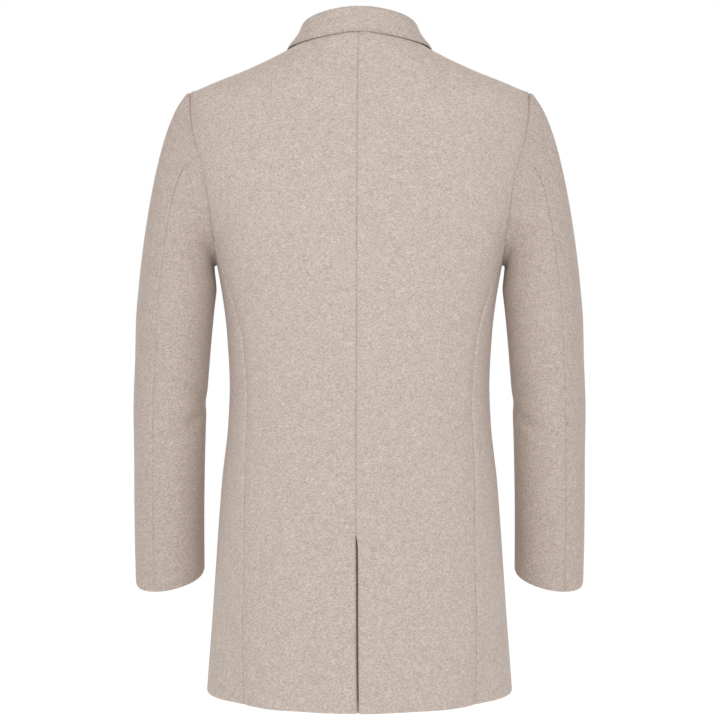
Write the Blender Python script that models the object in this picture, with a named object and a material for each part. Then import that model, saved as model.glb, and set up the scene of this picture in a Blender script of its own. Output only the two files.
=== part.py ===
"""A single-breasted wool overcoat, filled out as when worn, built as hollow cloth walls.

The body is one smooth surface through a short table of girth rings. Each panel is a grid
on that surface between its own seams, and gets the cloth's thickness. The sleeves are
lofted from the armholes. Metres, +Z up. The wearer faces -Y, their left is +X, and the
origin lies between the shoulders at the base of the neck.
"""
import math

import bmesh
import bpy
import numpy as np

# Cloth, seams and layers
WALL = 0.003
SEAM_GAP = 0.0003
LAY_GAP = 0.0008
STEP = 1e-4

# Levels on the body, measured at its side, and the seams' places
HEM_LEVEL = -0.848
SHOULDER_LEVEL = -0.057
UNDERARM_LEVEL = -0.288
NECK_LEVEL = 0.012
VENT_TOP = -0.632
BREAK_LEVEL = -0.335
OVERLAP = 0.020
ROLL_NECK_X = 0.060

# Girth rings: the body's sections from the hem to the neck
RING_COLUMNS = ("level", "z_back", "z_front", "half_width", "y_back", "y_front", "square")
GIRTH_RINGS = (
    (-0.848, -0.848, -0.848, 0.2018, 0.147, -0.140, 2.25),
    (-0.690, -0.690, -0.690, 0.1900, 0.142, -0.134, 2.25),
    (-0.568, -0.568, -0.568, 0.1810, 0.134, -0.131, 2.25),
    (-0.490, -0.490, -0.490, 0.1727, 0.123, -0.127, 2.30),
    (-0.445, -0.445, -0.445, 0.1710, 0.119, -0.125, 2.30),
    (-0.378, -0.378, -0.378, 0.1742, 0.121, -0.128, 2.35),
    (-0.298, -0.298, -0.298, 0.1850, 0.128, -0.135, 2.40),
    (-0.200, -0.208, -0.208, 0.2120, 0.127, -0.134, 2.45),
    (-0.120, -0.140, -0.150, 0.2250, 0.117, -0.126, 2.35),
    (-0.057, -0.085, -0.105, 0.2224, 0.102, -0.108, 2.25),
    (-0.0555, -0.0824, -0.1029, 0.2189, 0.1013, -0.1071, 2.28),
    (-0.045, -0.064, -0.088, 0.1940, 0.0965, -0.101, 2.50),
    (-0.026, -0.030, -0.060, 0.1435, 0.085, -0.086, 2.60),
    (0.012, 0.020, -0.020, 0.0700, 0.066, -0.060, 2.20),
)

# Side-back seam: its distance from the centre-back seam at each level
SEAM_COLUMNS = ("level", "x")
SIDE_BACK_SEAM = (
    (-0.848, 0.1515),
    (-0.660, 0.1490),
    (-0.528, 0.1480),
    (-0.470, 0.1455),
    (-0.389, 0.1510),
    (-0.320, 0.1690),
)

# Centre-back seam: it runs a little to the wearer's left of the middle
CENTRE_SEAM = (
    (-0.848, 0.0018),
    (-0.780, 0.0026),
    (-0.645, 0.0032),
    (-0.630, 0.0042),
    (-0.560, 0.0042),
    (-0.350, 0.0034),
    (-0.050, 0.0026),
    (0.012, 0.0002),
)

# Largest soft folds of the skirt: a line, a half-width, and a height out of the cloth
FOLD_COLUMNS = ("face", "x_top", "z_top", "x_end", "z_end", "half_width", "height")
SKIRT_FOLDS = (
    (1, 0.152, -0.690, 0.110, -0.860, 0.020, 0.0040),
    (1, 0.178, -0.700, 0.158, -0.860, 0.016, -0.0040),
    (1, -0.152, -0.690, -0.110, -0.860, 0.020, 0.0040),
    (1, -0.178, -0.700, -0.158, -0.860, 0.016, -0.0040),
    (1, 0.061, -0.670, 0.065, -0.760, 0.012, -0.0016),
    (1, -0.058, -0.640, -0.058, -0.780, 0.020, -0.0018),
    (-1, 0.120, -0.660, 0.098, -0.860, 0.020, 0.0040),
    (-1, -0.126, -0.640, -0.102, -0.860, 0.022, 0.0036),
)
FOLD_ONSET = 1.6

# Armhole: an oval on the body's surface, in level and angle
ARMHOLE_BACK_SPREAD = math.radians(29)
ARMHOLE_FRONT_SPREAD = math.radians(36)
ARMHOLE_SHOULDER = 0.22
ARMHOLE_STEPS = 24
SEAM_MEETS_ARMHOLE = 9
ARMHOLE_PULL = 3

# Sleeve rings from the upper arm to the cuff
SLEEVE_COLUMNS = ("level", "x", "y", "half_width", "half_depth", "tilt_out", "tilt_back")
SLEEVE_RINGS = (
    (-0.320, 0.2400, 0.004, 0.0512, 0.0680, 0.000, 0.000),
    (-0.350, 0.2430, 0.004, 0.0508, 0.0660, 0.000, 0.000),
    (-0.410, 0.2466, 0.002, 0.0490, 0.0620, 0.000, 0.000),
    (-0.475, 0.2502, -0.002, 0.0480, 0.0580, 0.000, 0.000),
    (-0.540, 0.2515, -0.010, 0.0467, 0.0560, -0.001, -0.002),
    (-0.605, 0.2528, -0.020, 0.0463, 0.0540, -0.003, -0.005),
    (-0.665, 0.2532, -0.030, 0.0460, 0.0525, -0.0045, -0.009),
    (-0.699, 0.2532, -0.036, 0.0458, 0.0520, -0.0055, -0.0115),
)
CAP_ROWS = 8
CAP_SPACING = 1.25
CAP_OUTWARD = 0.62
CAP_OUTWARD_TOP = 0.10
CAP_LEAD = 0.285
CAP_LEAD_TOP = -0.14
CAP_TAIL = 0.40
ARM_ROWS = 11
HINDARM_COLUMNS = ("down", "angle")
HINDARM_SEAM = ((0.0, 75.0), (0.4, 70.0), (1.0, 65.0))
FOREARM_SEAM = -60.0
SLEEVE_STEP = 15.0

# Largest creases of a sleeve: angle and level of the middle, reach each way, and height
CREASE_COLUMNS = ("angle", "level", "half_angle", "half_level", "slant", "height")
SLEEVE_CREASES = (
    (140, -0.488, 42, 0.011, 0.030, -0.0035),
    (150, -0.452, 38, 0.010, -0.020, -0.0028),
    (265, -0.470, 40, 0.012, 0.020, -0.0035),
)

# Collar sections from the centre back to the front end, at angles round the neck
COLLAR_COLUMNS = ("angle", "rise", "roll_out", "leaf_level", "leaf_lift", "fall_bow")
COLLAR_SECTIONS = (
    (-45.0, 0.0216, 0.0044, -0.0008, 0.0044, 0.0000),
    (0.0, 0.0226, 0.0050, 0.0045, 0.0048, 0.0006),
    (45.0, 0.0216, 0.0044, -0.0008, 0.0044, 0.0000),
    (90.0, 0.0152, 0.0036, -0.0012, 0.0040, -0.0026),
    (108.0, 0.0120, 0.0035, -0.0070, 0.0040, -0.0020),
    (127.0, 0.0090, 0.0035, -0.0220, 0.0042, -0.0008),
)
COLLAR_END = 124.0
COLLAR_STEPS = 24
ROLL_RADIUS = 0.0042
STAND_SHARES = (0.4, 0.75)
ROLL_TURNS = (180, 135, 90, 45, 10)
FALL_ROWS = 4

# Lapel: its top edge and tip on the front
GORGE_LEVEL = 0.0105
LAPEL_TIP_LEVEL = -0.036
LAPEL_TIP_X = 0.132
LAPEL_ROWS = 15
LAPEL_STEPS = 8
LAPEL_FOOT = 0.006
LAPEL_ROLL_START = BREAK_LEVEL + 0.010
LAPEL_EDGE_START = BREAK_LEVEL + 0.020
LAPEL_BELLY = 0.9
LAPEL_STAND = 0.0022

# Panel grids, vent and buttons
BACK_STEPS = 9
SKIRT_ROWS = 11
YOKE_ROWS = 4
FRONT_STEPS = 8
TUCK_START = 0.105
TUCK_END = 0.026
TUCK_BELOW_BREAK = 0.06
TUCK_BLEND = 0.05
UNDERLAP_WIDTH = 0.050
UNDERLAP_TURN = 0.014
UNDERLAP_RISE = 0.030
UNDERLAP_ROWS = 8
UNDERLAP_STEPS = 4
BUTTON_COLUMNS = ("name", "level", "lift")
BUTTONS = (
    ("button_top", -0.350, 0.0006),
    ("button_middle", -0.455, 0.0009),
    ("button_bottom", -0.560, 0.0004),
)
BUTTON_PROFILE_COLUMNS = ("radius", "height")
BUTTON_PROFILE = (
    (0.0110, 0.0),
    (0.0135, 0.0021),
    (0.0124, 0.0042),
    (0.0079, 0.0032),
)
BUTTON_SIDES = 24

WOOL = (0.565, 0.476, 0.416, 1.0)
HORN = (0.105, 0.070, 0.050, 1.0)


def column(rows, names, name):
    """One named column of a table."""
    return np.array([row[names.index(name)] for row in rows])


def smooth_value(rows, names, name, key):
    """A value between a table's rows, on a smooth curve through them."""
    keys = column(rows, names, names[0])
    values = column(rows, names, name)
    secants = np.diff(values) / np.diff(keys)
    slopes = np.concatenate((secants[:1], np.zeros(len(secants) - 1), secants[-1:]))
    for index in range(1, len(secants)):
        before, after = secants[index - 1:index + 1]
        if before * after > 0:
            slopes[index] = 2 * before * after / (before + after)
    row = int(np.clip(np.searchsorted(keys, key) - 1, 0, len(keys) - 2))
    span = keys[row + 1] - keys[row]
    part = (key - keys[row]) / span
    start = values[row] * (1 + 2 * part) * (1 - part) ** 2
    start += slopes[row] * span * part * (1 - part) ** 2
    end = values[row + 1] * part ** 2 * (3 - 2 * part)
    end += slopes[row + 1] * span * part ** 2 * (part - 1)
    return start + end


def ease(value):
    """A soft step from 0 to 1."""
    value = min(max(value, 0.0), 1.0)
    return value * value * (3 - 2 * value)


def unit(vector):
    return vector / np.linalg.norm(vector)


def ring_value(name, level):
    return smooth_value(GIRTH_RINGS, RING_COLUMNS, name, level)


def plain_point(level, angle, side):
    """The body's surface without folds: angle 0 is the centre back, pi the centre front."""
    square = ring_value("square", level)
    across = math.sin(angle)
    along = math.cos(angle)
    reach = (abs(across) ** square + abs(along) ** square) ** (-1 / square)
    if along > 0:
        depth = ring_value("y_back", level)
        height = ring_value("z_back", level)
    else:
        depth = -ring_value("y_front", level)
        height = ring_value("z_front", level)
    x = side * ring_value("half_width", level) * reach * across
    z = level + (height - level) * along * along
    return np.array((x, depth * reach * along, z))


def fold_height(point):
    """How far the skirt's folds lift the cloth at a point."""
    height = 0.0
    for row in SKIRT_FOLDS:
        fold = dict(zip(FOLD_COLUMNS, row))
        run = (fold["z_top"] - point[2]) / (fold["z_top"] - fold["z_end"])
        if fold["face"] * point[1] <= 0 or run <= 0:
            continue
        away = point[0] - fold["x_top"] - (fold["x_end"] - fold["x_top"]) * run
        spread = math.exp(-(away / fold["half_width"]) ** 2)
        height += fold["height"] * ease(run * FOLD_ONSET) * spread
    return height


def surface_normal(surface, level, angle, side):
    around = surface(level, angle + STEP, side) - surface(level, angle - STEP, side)
    upward = surface(level + STEP, angle, side) - surface(level - STEP, angle, side)
    return side * unit(np.cross(upward, around))


def body_point(level, angle, side):
    point = plain_point(level, angle, side)
    height = fold_height(point)
    if height == 0.0:
        return point
    return point + surface_normal(plain_point, level, angle, side) * height


def body_normal(level, angle, side):
    return surface_normal(body_point, level, angle, side)


def body_around(level, angle, side):
    """Direction along the cloth from the centre back towards the front."""
    return unit(body_point(level, angle + STEP, side) - body_point(level, angle - STEP, side))


def angle_at(level, x, front):
    """The angle at which the body's ring reaches a distance x from its middle."""
    square = ring_value("square", level)
    share = min(abs(x) / ring_value("half_width", level), 0.9999) ** square
    angle = math.copysign(math.atan((share / (1 - share)) ** (1 / square)), x)
    if front:
        return math.pi - angle
    return angle


def armhole(turn):
    """Level and angle of the armhole: turn 0 is the shoulder, pi the underarm."""
    middle = (SHOULDER_LEVEL + UNDERARM_LEVEL) / 2
    half = (SHOULDER_LEVEL - UNDERARM_LEVEL) / 2
    spread = ARMHOLE_BACK_SPREAD if math.sin(turn) > 0 else ARMHOLE_FRONT_SPREAD
    narrowing = ARMHOLE_SHOULDER * math.sin(2 * turn) ** 2 if math.cos(turn) > 0 else 0.0
    reach = math.copysign(abs(math.sin(turn)) - narrowing, math.sin(turn))
    return middle + half * math.cos(turn), math.pi / 2 - spread * reach


def armhole_point(turn, side):
    level, angle = armhole(turn)
    return body_point(level, angle, side)


def armhole_inward(turn, side):
    """Direction in the cloth from the armhole's edge towards its middle."""
    level, angle = armhole(turn)
    along = armhole_point(turn + STEP, side) - armhole_point(turn - STEP, side)
    inward = unit(np.cross(body_normal(level, angle, side), along))
    middle = body_point((SHOULDER_LEVEL + UNDERARM_LEVEL) / 2, math.pi / 2, side)
    if np.dot(inward, middle - armhole_point(turn, side)) < 0:
        inward = -inward
    return inward


def roll_x(level):
    """Where the front's edge, and above it the lapel's roll line, lies."""
    rise = max(level - BREAK_LEVEL, 0.0) / (NECK_LEVEL - BREAK_LEVEL)
    return -OVERLAP + (ROLL_NECK_X + OVERLAP) * rise


def tuck_depth(level, angle, side):
    """How far the right front dips to pass under the left one."""
    if side > 0 or math.cos(angle) > 0:
        return 0.0
    reach = side * plain_point(level, angle, side)[0]
    layers = 1 + ease((level - BREAK_LEVEL + TUCK_BELOW_BREAK) / TUCK_BLEND)
    return layers * (WALL + LAY_GAP) * ease((TUCK_START - reach) / (TUCK_START - TUCK_END))


def front_point(level, angle, side):
    depth = tuck_depth(level, angle, side)
    point = body_point(level, angle, side)
    if depth == 0.0:
        return point
    return point - body_normal(level, angle, side) * depth


def side_seam_angle(level):
    """Angle of the side-back seam, ending at the armhole."""
    turn = 2 * math.pi * SEAM_MEETS_ARMHOLE / ARMHOLE_STEPS
    top_level, top_angle = armhole(turn)
    top_x = body_point(top_level, top_angle, 1)[0]
    rows = SIDE_BACK_SEAM + ((top_level, top_x),)
    return angle_at(level, smooth_value(rows, SEAM_COLUMNS, "x", level), False)


def cloth_wall(name, outer, inner, cells, colour):
    """A closed wall between two grids of points, over the cells that the piece covers."""
    places = {}
    points = []

    def corner(layer, row, step):
        key = (layer, row, step)
        if key not in places:
            places[key] = len(points)
            points.append((outer, inner)[layer][row][step])
        return places[key]

    faces = []
    edges = {}
    for row, step in cells:
        loop = ((row, step), (row, step + 1), (row + 1, step + 1), (row + 1, step))
        faces.append([corner(0, *spot) for spot in loop])
        faces.append([corner(1, *spot) for spot in reversed(loop)])
        for start, end in zip(loop, loop[1:] + loop[:1]):
            edges[(start, end)] = (end, start) in edges
            if edges[(start, end)]:
                edges[(end, start)] = True
    for (start, end), shared in edges.items():
        if not shared:
            faces.append([corner(0, *end), corner(0, *start), corner(1, *start), corner(1, *end)])
    return solid(name, points, faces, colour)


def solid(name, points, faces, colour):
    """A named object from points and faces, with its own plain material."""
    mesh = bpy.data.meshes.new(name)
    mesh.from_pydata([tuple(point) for point in points], [], faces)
    work = bmesh.new()
    work.from_mesh(mesh)
    bmesh.ops.triangulate(work, faces=work.faces, quad_method="SHORT_EDGE")
    bmesh.ops.recalc_face_normals(work, faces=work.faces)
    work.to_mesh(mesh)
    work.free()
    mesh.shade_smooth()
    mesh.set_sharp_from_angle(angle=math.radians(40))
    piece = bpy.data.objects.new(name, mesh)
    bpy.context.collection.objects.link(piece)
    finish = bpy.data.materials.new(name)
    finish.use_nodes = True
    shader = finish.node_tree.nodes["Principled BSDF"]
    shader.inputs["Base Color"].default_value = colour
    shader.inputs["Roughness"].default_value = 0.95 if colour == WOOL else 0.35
    mesh.materials.append(finish)
    return piece


def grid_cells(rows, steps):
    return [(row, step) for row in range(rows) for step in range(steps)]


def side_name(side):
    return "left" if side > 0 else "right"


def armhole_turn(index):
    return 2 * math.pi * index / ARMHOLE_STEPS


def skirt_levels(top):
    """Rows from the hem up to a level."""
    return [HEM_LEVEL + (top - HEM_LEVEL) * row / SKIRT_ROWS for row in range(SKIRT_ROWS + 1)]


def yoke_levels():
    """Rows from the shoulder point up to the neck."""
    rise = NECK_LEVEL - SHOULDER_LEVEL
    return [SHOULDER_LEVEL + rise * row / YOKE_ROWS for row in range(1, YOKE_ROWS + 1)]


def back_panel(side):
    """One half of the back, from the centre-back seam to the side-back seam and armhole."""
    seam_top = armhole(armhole_turn(SEAM_MEETS_ARMHOLE))[0]
    rows = [(level, side_seam_angle(level), "seam", 0) for level in skirt_levels(seam_top)]
    rows[-1] = rows[-1][:2] + ("armhole", SEAM_MEETS_ARMHOLE)
    for index in range(SEAM_MEETS_ARMHOLE - 1, -1, -1):
        level, angle = armhole(armhole_turn(index))
        rows.append((level, angle, "armhole", index))
    rows += [(level, math.pi / 2, "shoulder", 0) for level in yoke_levels()]
    outer = []
    inner = []
    for level, end, edge, index in rows:
        shells = ([], [])
        start = side * angle_at(level, smooth_value(CENTRE_SEAM, SEAM_COLUMNS, "x", level), False)
        for step in range(BACK_STEPS + 1):
            angle = start + (end - start) * step / BACK_STEPS
            point = body_point(level, angle, side)
            if step == 0:
                point = point + np.array((side * SEAM_GAP / 2, 0, 0))
            if step == BACK_STEPS:
                point = point + back_edge_shift(level, angle, side, edge, index)
            shells[0].append(point)
            shells[1].append(point - body_normal(level, angle, side) * WALL)
        outer.append(shells[0])
        inner.append(shells[1])
    cells = grid_cells(len(rows) - 1, BACK_STEPS)
    return cloth_wall("back_" + side_name(side), outer, inner, cells, WOOL)


def back_edge_shift(level, angle, side, edge, index):
    """Half a seam's gap, away from the piece that the back's outer edge is sewn to."""
    half = SEAM_GAP / 2
    shift = np.zeros(3)
    if edge == "armhole":
        shift -= armhole_inward(armhole_turn(index), side) * half
    if edge == "shoulder" or (edge == "armhole" and index == 0):
        shift += np.array((0, half, 0))
    if edge == "seam" or index == SEAM_MEETS_ARMHOLE:
        shift -= body_around(level, angle, side) * half
    return shift


def front_panel(side):
    """One front, from the side-back seam under the arm to the front edge and roll line."""
    first = SEAM_MEETS_ARMHOLE
    last = ARMHOLE_STEPS - SEAM_MEETS_ARMHOLE
    under = last - first
    steps = under + FRONT_STEPS
    half = SEAM_GAP / 2
    corner_level = armhole(armhole_turn(last))[0]
    outer = []
    inner = []

    def place(level, angle, shift):
        point = front_point(level, angle, side) + shift
        outer[-1].append(point)
        inner[-1].append(point - body_normal(level, angle, side) * WALL)

    for row in range(SKIRT_ROWS + 1):
        outer.append([])
        inner.append([])
        share = row / SKIRT_ROWS
        for step in range(steps + 1):
            if step <= under:
                top, top_angle = armhole(armhole_turn(first + step))
            else:
                top = corner_level
                corner_angle = armhole(armhole_turn(last))[1]
                edge_angle = angle_at(top, roll_x(top), True)
                top_angle = corner_angle + (edge_angle - corner_angle) * (step - under) / FRONT_STEPS
            level = HEM_LEVEL + (top - HEM_LEVEL) * share
            start = side_seam_angle(min(level, armhole(armhole_turn(first))[0]))
            end = angle_at(level, roll_x(level), True)
            top_start = side_seam_angle(min(top, armhole(armhole_turn(first))[0]))
            top_end = angle_at(top, roll_x(top), True)
            top_even = top_start + (top_end - top_start) * step / steps
            even = start + (end - start) * step / steps
            angle = even + (top_angle - top_even) * share ** ARMHOLE_PULL
            shift = np.zeros(3)
            if step == 0:
                shift += body_around(level, angle, side) * half
            if row == SKIRT_ROWS and step <= under:
                shift -= armhole_inward(armhole_turn(first + step), side) * half
            place(level, angle, shift)
    upper = [armhole(armhole_turn(index)) + (index,) for index in range(last + 1, ARMHOLE_STEPS + 1)]
    upper += [(level, math.pi / 2, None) for level in yoke_levels()]
    for level, start, index in upper:
        outer.append([np.zeros(3)] * under)
        inner.append([np.zeros(3)] * under)
        end = angle_at(level, roll_x(level), True)
        for step in range(FRONT_STEPS + 1):
            shift = np.zeros(3)
            if step == 0 and index is not None:
                shift -= armhole_inward(armhole_turn(index), side) * half
            if step == 0 and index in (None, ARMHOLE_STEPS):
                shift -= np.array((0, half, 0))
            place(level, start + (end - start) * step / FRONT_STEPS, shift)
    cells = grid_cells(SKIRT_ROWS, steps)
    cells += [(SKIRT_ROWS + row, under + step) for row, step in grid_cells(len(upper), FRONT_STEPS)]
    return cloth_wall("front_" + side_name(side), outer, inner, cells, WOOL)


def vent_underlap():
    """The strip behind the vent, sewn to the left back and lying under the right one."""
    top = VENT_TOP + UNDERLAP_RISE
    outer = []
    inner = []
    for row in range(UNDERLAP_ROWS + 1):
        level = HEM_LEVEL + (top - HEM_LEVEL) * row / UNDERLAP_ROWS
        shells = ([], [])
        for step in range(UNDERLAP_STEPS + 1):
            x = UNDERLAP_TURN - (UNDERLAP_TURN + UNDERLAP_WIDTH) * step / UNDERLAP_STEPS
            angle = angle_at(level, x, False)
            normal = body_normal(level, angle, 1)
            point = body_point(level, angle, 1)
            shells[0].append(point - normal * (WALL + LAY_GAP))
            shells[1].append(point - normal * (2 * WALL + LAY_GAP))
        outer.append(shells[0])
        inner.append(shells[1])
    cells = grid_cells(UNDERLAP_ROWS, UNDERLAP_STEPS)
    return cloth_wall("vent_underlap", outer, inner, cells, WOOL)


def sleeve_ring_point(level, angle, side):
    """A point on the sleeve below the armhole: angle 0 is its outside, 90 degrees its back."""
    def value(name):
        return smooth_value(SLEEVE_RINGS[::-1], SLEEVE_COLUMNS, name, level)

    out = math.cos(angle)
    back = math.sin(angle)
    bend = 1.0
    for row in SLEEVE_CREASES:
        crease = dict(zip(CREASE_COLUMNS, row))
        away = math.degrees(angle) % 360 - crease["angle"]
        turn = away / crease["half_angle"]
        drop = (level - crease["level"] - crease["slant"] * math.radians(away)) / crease["half_level"]
        bend += crease["height"] / value("half_depth") * math.exp(-turn * turn - drop * drop)
    x = value("x") + value("half_width") * bend * out
    y = value("y") + value("half_depth") * bend * back
    z = level + value("tilt_out") * out + value("tilt_back") * back
    return np.array((side * x, y, z))


def sleeve_cap_point(down, turn, side):
    """A point on the sleeve's head, on a curve from the armhole down to the upper arm."""
    top, below = column(SLEEVE_RINGS, SLEEVE_COLUMNS, "level")[:2]
    inward = armhole_inward(turn, side)
    start = armhole_point(turn, side) + inward * SEAM_GAP / 2
    end = sleeve_ring_point(top, turn, side)
    along = unit(end - sleeve_ring_point(below, turn, side))
    crown = max(math.cos(turn), 0.0)
    outward = CAP_OUTWARD + CAP_OUTWARD_TOP * crown
    lead = unit(inward * (1 - outward) + np.array((side * outward, 0, 0)))
    length = np.linalg.norm(end - start)
    first = start + lead * length * (CAP_LEAD + CAP_LEAD_TOP * crown ** 2)
    second = end + along * length * CAP_TAIL
    rest = 1 - down
    return (start * rest ** 3 + first * 3 * down * rest ** 2
            + second * 3 * down ** 2 * rest + end * down ** 3)


def sleeve_piece(name, first, last, side):
    """A sleeve piece between two armhole turns, the hindarm seam leaning to its table."""
    steps = round((last - first) / SLEEVE_STEP)
    half = SEAM_GAP / 2

    levels = column(SLEEVE_RINGS, SLEEVE_COLUMNS, "level")
    hind_top = column(HINDARM_SEAM, HINDARM_COLUMNS, "angle")[0]

    def leaning(degrees, down):
        """The angle of a line down the sleeve, leaning with the hindarm seam."""
        lean = smooth_value(HINDARM_SEAM, HINDARM_COLUMNS, "angle", down) - hind_top
        fixed = FOREARM_SEAM if degrees <= hind_top else FOREARM_SEAM + 360
        return math.radians(degrees + lean * (degrees - fixed) / (hind_top - fixed))

    def point_at(row, degrees):
        if row <= CAP_ROWS:
            down = (row / CAP_ROWS) ** CAP_SPACING
            return sleeve_cap_point(down, leaning(degrees, down), side)
        share = (row - CAP_ROWS) / ARM_ROWS
        level = levels[0] + (levels[-1] - levels[0]) * share
        return sleeve_ring_point(level, leaning(degrees, 1.0), side)

    outer = []
    inner = []
    for row in range(CAP_ROWS + ARM_ROWS + 1):
        shells = ([], [])
        for step in range(steps + 1):
            degrees = first + step * SLEEVE_STEP
            point = point_at(row, degrees)
            around = unit(point_at(row, degrees + 0.5) - point_at(row, degrees - 0.5))
            if row == 0:
                level, angle = armhole(math.radians(degrees))
                normal = body_normal(level, angle, side)
            else:
                low = point_at(row - 0.02, degrees)
                high = point_at(min(row + 0.02, CAP_ROWS + ARM_ROWS), degrees)
                normal = side * unit(np.cross(around, high - low)) * -1
            if step == 0:
                point = point + around * half
            if step == steps:
                point = point - around * half
            shells[0].append(point)
            shells[1].append(point - normal * WALL)
        outer.append(shells[0])
        inner.append(shells[1])
    cells = grid_cells(CAP_ROWS + ARM_ROWS, steps)
    return cloth_wall(name + "_" + side_name(side), outer, inner, cells, WOOL)


def collar_value(name, degrees):
    return smooth_value(COLLAR_SECTIONS, COLLAR_COLUMNS, name, abs(degrees))


def collar_section(degrees):
    """The visible face of the collar at an angle: up the stand, over the roll, down the fall."""
    side = 1 if degrees >= 0 else -1
    angle = math.radians(abs(degrees))
    seam = body_point(NECK_LEVEL, angle, side)
    normal = body_normal(NECK_LEVEL, angle, side)
    upward = unit(seam - body_point(NECK_LEVEL - STEP, angle, side))
    out = unit(np.array((normal[0], normal[1], 0.0)))
    up = np.array((0.0, 0.0, 1.0))
    rise = collar_value("rise", degrees)
    top = seam + out * collar_value("roll_out", degrees) + up * (rise - ROLL_RADIUS)
    foot = seam - normal * WALL + upward * SEAM_GAP
    face = [foot]
    for share in STAND_SHARES:
        face.append(foot + (top - out * ROLL_RADIUS - foot) * share)
    for turn in ROLL_TURNS:
        lean = math.radians(turn)
        face.append(top + out * ROLL_RADIUS * math.cos(lean) + up * ROLL_RADIUS * math.sin(lean))
    leaf_level = collar_value("leaf_level", degrees)
    leaf_lift = collar_value("leaf_lift", degrees)
    bow = collar_value("fall_bow", degrees)
    leaf = body_point(leaf_level, angle, side) + body_normal(leaf_level, angle, side) * leaf_lift
    edge = face[-1]
    for row in range(1, FALL_ROWS + 1):
        share = row / FALL_ROWS
        face.append(edge + (leaf - edge) * share + out * bow * math.sin(math.pi * share))
    return face, seam + upward * SEAM_GAP


def collar():
    """Stand and fall in one folded wall round the neck."""
    angles = [COLLAR_END * (2 * step / COLLAR_STEPS - 1) for step in range(COLLAR_STEPS + 1)]
    sections = [collar_section(degrees) for degrees in angles]
    rows = len(sections[0][0])
    face = [[sections[step][0][row] for step in range(COLLAR_STEPS + 1)] for row in range(rows)]
    back = []
    for row in range(rows):
        back.append([])
        for step in range(COLLAR_STEPS + 1):
            if row == 0:
                back[-1].append(sections[step][1])
                continue
            along = face[min(row + 1, rows - 1)][step] - face[row - 1][step]
            around = face[row][min(step + 1, COLLAR_STEPS)] - face[row][max(step - 1, 0)]
            back[-1].append(face[row][step] - unit(np.cross(along, around)) * WALL)
    return cloth_wall("collar", face, back, grid_cells(rows - 1, COLLAR_STEPS), WOOL)


def lapel(side):
    """A lapel turned back on its front, from the roll line to its edge."""
    outer = []
    inner = []
    for row in range(LAPEL_ROWS + 1):
        share = row / LAPEL_ROWS
        roll_level = LAPEL_ROLL_START + (GORGE_LEVEL - LAPEL_ROLL_START) * share
        edge_level = LAPEL_EDGE_START + (LAPEL_TIP_LEVEL - LAPEL_EDGE_START) * share
        widest = LAPEL_TIP_X - roll_x(LAPEL_TIP_LEVEL)
        reach = LAPEL_FOOT + (widest - LAPEL_FOOT) * share ** LAPEL_BELLY
        shells = ([], [])
        for step in range(LAPEL_STEPS + 1):
            across = step / LAPEL_STEPS
            level = roll_level + (edge_level - roll_level) * across
            x = roll_x(roll_level) + (roll_x(edge_level) + reach - roll_x(roll_level)) * across
            angle = angle_at(level, x, True)
            normal = body_normal(level, angle, side)
            point = front_point(level, angle, side)
            lift = LAY_GAP + LAPEL_STAND * share ** 2
            shells[0].append(point + normal * (WALL + lift))
            shells[1].append(point + normal * lift)
        outer.append(shells[0])
        inner.append(shells[1])
    cells = grid_cells(LAPEL_ROWS, LAPEL_STEPS)
    return cloth_wall("lapel_" + side_name(side), outer, inner, cells, WOOL)


def button(name, level, lift):
    """A flat round button with a raised rim, lying on the left front at the centre."""
    centre = body_point(level, math.pi, 1)
    normal = body_normal(level, math.pi, 1)
    across = unit(np.cross(normal, np.array((0.0, 0.0, 1.0))))
    upward = np.cross(across, normal)
    points = []
    for row in BUTTON_PROFILE:
        ring = dict(zip(BUTTON_PROFILE_COLUMNS, row))
        for step in range(BUTTON_SIDES):
            turn = 2 * math.pi * step / BUTTON_SIDES
            spoke = across * math.cos(turn) + upward * math.sin(turn)
            points.append(centre + spoke * ring["radius"] + normal * (lift + ring["height"]))
    faces = [list(range(BUTTON_SIDES - 1, -1, -1))]
    for ring in range(len(BUTTON_PROFILE) - 1):
        for step in range(BUTTON_SIDES):
            start = ring * BUTTON_SIDES + step
            end = ring * BUTTON_SIDES + (step + 1) % BUTTON_SIDES
            faces.append([start, end, end + BUTTON_SIDES, start + BUTTON_SIDES])
    top = (len(BUTTON_PROFILE) - 1) * BUTTON_SIDES
    faces.append(list(range(top, top + BUTTON_SIDES)))
    return solid(name, points, faces, HORN)


def main():
    for old in list(bpy.data.objects):
        bpy.data.objects.remove(old)
    for side in (1, -1):
        back_panel(side)
        front_panel(side)
        sleeve_piece("top_sleeve", FOREARM_SEAM, HINDARM_SEAM[0][1], side)
        sleeve_piece("under_sleeve", HINDARM_SEAM[0][1], FOREARM_SEAM + 360, side)
        lapel(side)
    vent_underlap()
    collar()
    for row in BUTTONS:
        button(**dict(zip(BUTTON_COLUMNS, row)))


main()
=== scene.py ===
"""Looks of the winter coat: thin wool shells on the forms of its solids, sewn edges and creases.

Metres, +Z up. The wearer faces -Y and the camera looks at the back, from +Y.
"""
import math

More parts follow.
